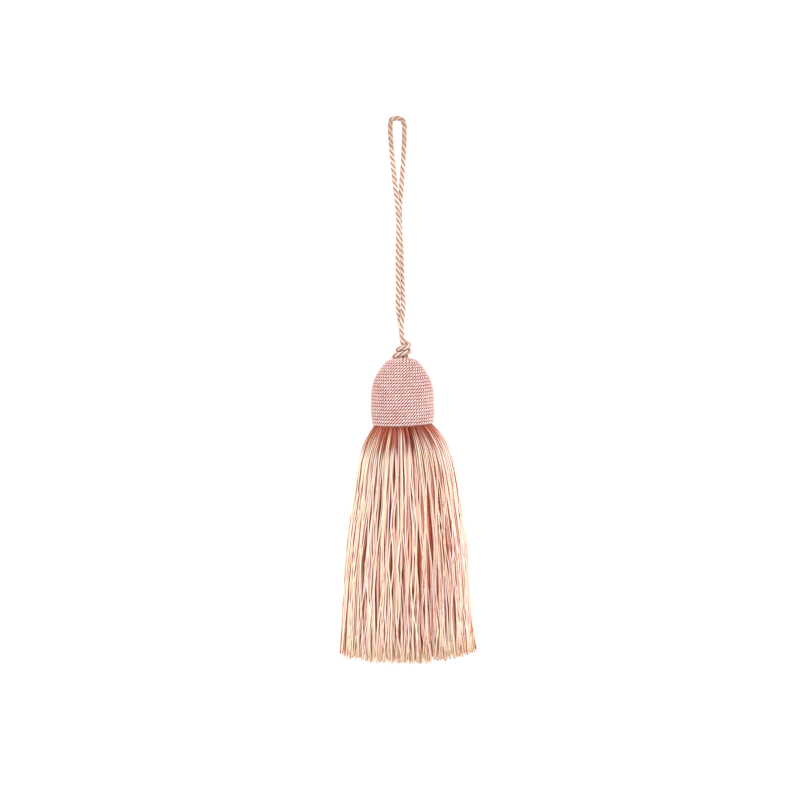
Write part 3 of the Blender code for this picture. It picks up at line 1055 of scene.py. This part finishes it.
@dataclass
class Skirt:
    """The skirt of cut threads, and the bound heading that holds their roots."""

    thread_radius: float = 0.265 * MM
    thickness_span: Span = (0.75, 1.20)
    root_thickness: float = 0.80
    bunching: float = 0.65
    uneven_spacing: float = 0.42
    parting: float = 0.024
    parting_waves: int = 16
    parting_wisps: tuple[int, int] = (26, 68)
    parting_lengths: Span = (0.024, 0.060)
    waves_down: tuple[Span, ...] = ((0.026, 0.25), (0.045, 0.4), (0.085, 0.6))
    wave_strength: Span = (0.4, 1.0)
    thread_sway: float = 0.45 * MM
    lean: float = 1.4 * MM
    bow: float = 0.35 * MM
    stray_share: float = 0.04
    stray_gain: float = 2.4
    uneven_ends: float = 1.4 * MM
    end_span: Span = (-1.0, 0.7)
    kick: float = 1.2 * MM
    flare: float = 0.9 * MM
    flare_span: Span = (-0.3, 1.0)
    least_radius: float = 4.0 * MM
    # How much of the painted depth shade fades out towards the hem.
    depth_shade_loss_at_hem: float = 0.8
    shade_drift: float = 0.05
    drift_turn: float = 100.0
    sides: int = 4
    heading_radius: float = 8.9 * MM
    heading_low: float = 0.4 * MM
    heading_high: float = 2.7 * MM
    heading_sides: int = 48
    heading_round: float = 0.4 * MM
    heading_round_steps: int = 3
    sharp_angle: float = 40.0

    def outline(self, stations: int) -> np.ndarray:
        """The middle line of the outermost thread.

        Args:
            stations: How many stations the thread has, closer together at its root.

        Returns:
            Drop, radius, sink and shift at each station.
        """
        line = smooth_line(np.array(THREAD_OUTLINE) * MM)
        far = travel(line[:, :2])
        even = np.linspace(0.0, 1.0, stations)
        bunched = ((1.0 - self.bunching) * even + self.bunching * even**2.0) * far[-1]
        return np.stack([np.interp(bunched, far, column) for column in line.T])

    def waves(self, chance: np.random.Generator, count: int, drop: np.ndarray) -> np.ndarray:
        """Slow random waves down each thread, growing below the rim.

        Args:
            chance: The random draws.
            count: How many lines of waves to make.
            drop: How far below the rim each station lies.

        Returns:
            A wave of about -1 to 1 for each line and station.
        """
        total = np.zeros((count, len(drop)))
        for length, height in self.waves_down:
            phase = chance.uniform(0.0, math.tau, (count, 1))
            strength = chance.uniform(*self.wave_strength, (count, 1)) * height
            total += strength * np.sin(math.tau * drop / length + phase)
        return total * Onset.SWAY.growth(drop)

    def partings(self, chance: np.random.Generator, turn: np.ndarray, drop: np.ndarray) -> np.ndarray:
        """How far wisps of threads are drawn together, which leaves narrow gaps between them.

        Args:
            chance: The random draws.
            turn: Where round the tassel each thread starts.
            drop: How far below the rim each station lies.

        Returns:
            A turn to add for each thread and station.
        """
        total = np.zeros((len(turn), len(drop)))
        for _ in range(self.parting_waves):
            around = chance.integers(*self.parting_wisps)
            length = chance.uniform(*self.parting_lengths) * chance.choice((-1.0, 1.0))
            phase = chance.uniform(0.0, math.tau)
            total += np.sin(around * turn[:, None] + math.tau * drop / length + phase)
        reach = self.parting * math.sqrt(2.0 / self.parting_waves)
        return reach * total * Onset.PARTING.growth(drop)

    def threads(self, layer: ThreadLayer, chance: np.random.Generator) -> Arrays:
        """The lines of one layer of threads.

        Args:
            layer: The layer.
            chance: The random draws.

        Returns:
            Lines, directions across them, radii, and each thread's depth, which also sets its painted
            shade and is less towards the hem.
        """
        count = layer.count
        drop, radius, sink, shift = self.outline(layer.stations)
        uneven = chance.uniform(-self.uneven_spacing, self.uneven_spacing, count)
        turn = (np.arange(count) + uneven) * math.tau / count
        turn = turn + chance.uniform(0.0, math.tau)
        widening = (layer.share_at_hem - layer.share_at_rim) * Onset.SETTLING.growth(drop)
        share = layer.share_at_rim + widening
        shared = self.partings(np.random.default_rng(SEED), turn, drop)
        own = self.partings(chance, turn, drop)
        angle = turn[:, None] + shared * (1.0 - layer.depth) + own * layer.depth
        stray = np.where(chance.random((count, 1)) < self.stray_share, self.stray_gain, 1.0)
        reach = radius * share + self.bow * self.waves(chance, count, drop)
        flare = chance.uniform(*self.flare_span, (count, 1)) * Onset.FLARE.growth(drop)
        reach += stray * self.flare * flare
        sideways = stray * self.thread_sway * self.waves(chance, count, drop)
        sideways += self.lean * chance.uniform(-1.0, 1.0, (count, 1)) * Onset.LEAN.growth(drop)
        sideways += self.kick * chance.uniform(-1.0, 1.0, (count, 1)) * Onset.KICK.growth(drop)
        angle = angle + sideways / np.maximum(radius * share, self.least_radius)
        ends = chance.uniform(*self.end_span, (count, 1)) * self.uneven_ends
        fall = drop + sink * (1.0 - share) + ends * Onset.UNEVEN_ENDS.growth(drop)
        level = rim_height() - fall
        lines = np.stack((reach * np.cos(angle) + shift, reach * np.sin(angle), level), axis=-1)
        across = np.stack((-np.sin(angle), np.cos(angle), np.zeros_like(angle)), axis=-1)
        thin = self.root_thickness + (1.0 - self.root_thickness) * Onset.THICKNESS.growth(drop)
        radii = self.thread_radius * thin * chance.uniform(*self.thickness_span, (count, 1))
        # Less painted depth shade towards the hem.
        depth_shade_kept = 1.0 - self.depth_shade_loss_at_hem * Onset.OPEN_HEM.growth(drop)
        depths_and_shades = np.broadcast_to(layer.depth * depth_shade_kept, radii.shape)
        return {"lines": lines, "across": across, "radii": radii, "depths_and_shades": depths_and_shades}

    def joined(self, layers: tuple[ThreadLayer, ...], chance: np.random.Generator) -> Arrays:
        """All the threads of several layers together."""
        made = [self.threads(layer, chance) for layer in layers]
        return {key: np.concatenate([threads[key] for threads in made]) for key in made[0]}

    def build(self) -> None:
        """Builds and dresses the threads, shade by shade, and the heading."""
        chance = np.random.default_rng(SEED)
        outer = self.joined(THREAD_LAYERS, chance)
        core = self.joined(CORE_LAYERS, chance)
        depth = outer["depths_and_shades"][:, :1]
        outside, inside = np.array(list(SHADE_SHARES.values())).T
        shares = outside * (1.0 - depth) + inside * depth
        turn = np.arctan2(outer["lines"][:, -1, 1], outer["lines"][:, -1, 0])
        drift = self.shade_drift * np.cos(2.0 * turn + math.radians(self.drift_turn))
        draws = chance.random(len(depth)) + drift
        picks = np.sum(np.cumsum(shares, axis=1)[:, :-1] < draws[:, None], axis=1)
        for number, shade in enumerate(SHADE_SHARES):
            self.build_shade(shade, outer, picks == number, chance)
        self.build_shade(YarnShade.CORE, core, np.full(len(core["depths_and_shades"]), True), chance)
        self.build_heading()

    def build_shade(self, shade: YarnShade, threads: Arrays, chosen: np.ndarray,
                    chance: np.random.Generator) -> None:
        """Builds and dresses the threads of one shade.

        Args:
            shade: The yarn's shade.
            threads: All threads of the layers.
            chosen: Which of them have this shade.
            chance: The random draws.
        """
        picked = {key: values[chosen] for key, values in threads.items()}
        radii = picked["radii"]
        tones = np.broadcast_to(chance.uniform(0.0, 1.0, (len(radii), 1)), radii.shape)
        bundle = TubeBundle(f"threads_{shade.value}", self.sides)
        piece = bundle.make(picked["lines"], picked["across"], radii, tones, picked["depths_and_shades"])
        dress(piece, THREAD_FINISHES[shade].material(), "strand_skirt")

    def build_heading(self) -> None:
        """The bound heading in the head's socket, which closes the skirt at its top."""
        depth = self.heading_high - self.heading_low
        bpy.ops.mesh.primitive_cylinder_add(
            vertices=self.heading_sides, radius=self.heading_radius, depth=depth,
            location=(0.0, 0.0, rim_height() + self.heading_low + 0.5 * depth),
        )
        heading = bpy.context.object
        heading.name = heading.data.name = "skirt_heading"
        bpy.ops.object.transform_apply(location=True)
        edit(heading)
        bpy.ops.mesh.select_all(action="SELECT")
        bpy.ops.mesh.bevel(
            offset=self.heading_round, segments=self.heading_round_steps, affect="EDGES"
        )
        bpy.ops.object.mode_set(mode="OBJECT")
        heading.data.shade_smooth()
        heading.data.set_sharp_from_angle(angle=math.radians(self.sharp_angle))
        plain_yarn_map(heading.data)
        dress(heading, THREAD_FINISHES[YarnShade.CORE].material(), "strand_skirt")


@dataclass(frozen=True)
class SoftLight:
    """A square soft light, with its power in watts."""

    name: str
    place: tuple[float, float, float]
    width: float
    power: float

    def build(self, aim: tuple[float, float, float]) -> None:
        """Hangs the light.

        Args:
            aim: The point that it is turned to.
        """
        data = bpy.data.lights.new(self.name, "AREA")
        data.size = self.width
        data.energy = self.power
        light = add_object(self.name, data)
        light.location = self.place
        light.rotation_mode = "QUATERNION"
        toward = Vector(aim) - Vector(self.place)
        light.rotation_quaternion = toward.to_track_quat("-Z", "Y")


LIGHTS = (
    SoftLight("key_light", (0.80, -0.42, 0.60), 0.6, 6.6),
    SoftLight("fill_light", (-0.85, -0.40, -0.10), 0.4, 2.6),
    SoftLight("front_light", (0.0, -0.58, 0.16), 0.12, 1.6),
    SoftLight("left_side_light", (-0.8, 0.22, -0.06), 0.36, 1.3),
    SoftLight("right_side_light", (0.8, 0.22, -0.12), 0.36, 2.0),
)


@dataclass
class Studio:
    """Camera, pale floor and backdrop, and soft light."""

    picture_pixels: int = 800
    object_pixel: float = 0.364 * MM
    distance: float = 0.70
    elevation: float = 4.0
    roll: float = -1.1
    aim: tuple[float, float, float] = (-0.0009, 0.0, -0.1008)
    floor_drop: float = 0.12
    floor_half: float = 1.6
    backdrop_back: float = 0.95
    backdrop_height: float = 2.2
    cove_radius: float = 0.6
    cove_steps: int = 24
    daylight: Colour = (1.0, 0.99, 0.985)
    daylight_strength: float = 0.8

    def build_camera(self) -> None:
        """The camera, at the photograph's angle and framing."""
        data = bpy.data.cameras.new("camera")
        camera = add_object("camera", data)
        width = self.picture_pixels * self.object_pixel
        data.angle = 2.0 * math.atan(0.5 * width / self.distance)
        tilt = math.radians(self.elevation)
        back = Vector((0.0, -math.cos(tilt), math.sin(tilt)))
        camera.rotation_mode = "QUATERNION"
        camera.location = Vector(self.aim) + back * self.distance
        spin = Matrix.Rotation(math.radians(self.roll), 3, "Z").to_quaternion()
        camera.rotation_quaternion = (-back).to_track_quat("-Z", "Y") @ spin
        bpy.context.scene.camera = camera

    def build_floor(self) -> None:
        """A pale floor that curves up into the backdrop."""
        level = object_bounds()[0].z - self.floor_drop
        bpy.ops.mesh.primitive_plane_add(size=2.0 * self.floor_half, location=(0.0, 0.0, level))
        floor = bpy.context.object
        floor.name = floor.data.name = "pale_floor"
        bpy.ops.object.transform_apply(location=True)
        for corner in floor.data.vertices:
            if corner.co.y > 0.0:
                corner.co.y = self.backdrop_back
        edit(floor)
        bpy.ops.mesh.select_all(action="DESELECT")
        bpy.ops.object.mode_set(mode="OBJECT")
        for edge in floor.data.edges:
            ends = [floor.data.vertices[i].co.y for i in edge.vertices]
            edge.select = min(ends) > 0.0
        bpy.ops.object.mode_set(mode="EDIT")
        bpy.ops.mesh.extrude_region_move(
            TRANSFORM_OT_translate={"value": (0.0, 0.0, self.backdrop_height)}
        )
        bpy.ops.object.mode_set(mode="OBJECT")
        bend = floor.modifiers.new("cove", "BEVEL")
        bend.width = self.cove_radius
        bend.segments = self.cove_steps
        bpy.ops.object.modifier_apply(modifier=bend.name)
        floor.data.shade_smooth()
        floor.data.materials.append(PaleFinish().material())
        floor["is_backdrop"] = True

    def build_daylight(self) -> None:
        """The even pale light from all round, shown as it is."""
        world = bpy.data.worlds.new("soft_white")
        world.use_nodes = True
        background = world.node_tree.nodes["Background"]
        background.inputs["Color"].default_value = (*self.daylight, 1.0)
        background.inputs["Strength"].default_value = self.daylight_strength
        bpy.context.scene.world = world
        bpy.context.scene.view_settings.view_transform = "Standard"

    def build(self) -> None:
        """Builds the studio."""
        self.build_camera()
        self.build_floor()
        for light in LIGHTS:
            light.build(self.aim)
        self.build_daylight()


def main() -> None:
    """Builds the studio and the tassel, piece by piece."""
    logging.basicConfig(level=logging.INFO, format="%(name)s %(message)s")
    Studio().build()
    LoopCord().build()
    WoundHead().build()
    Skirt().build()


if __name__ == "__main__":
    main()
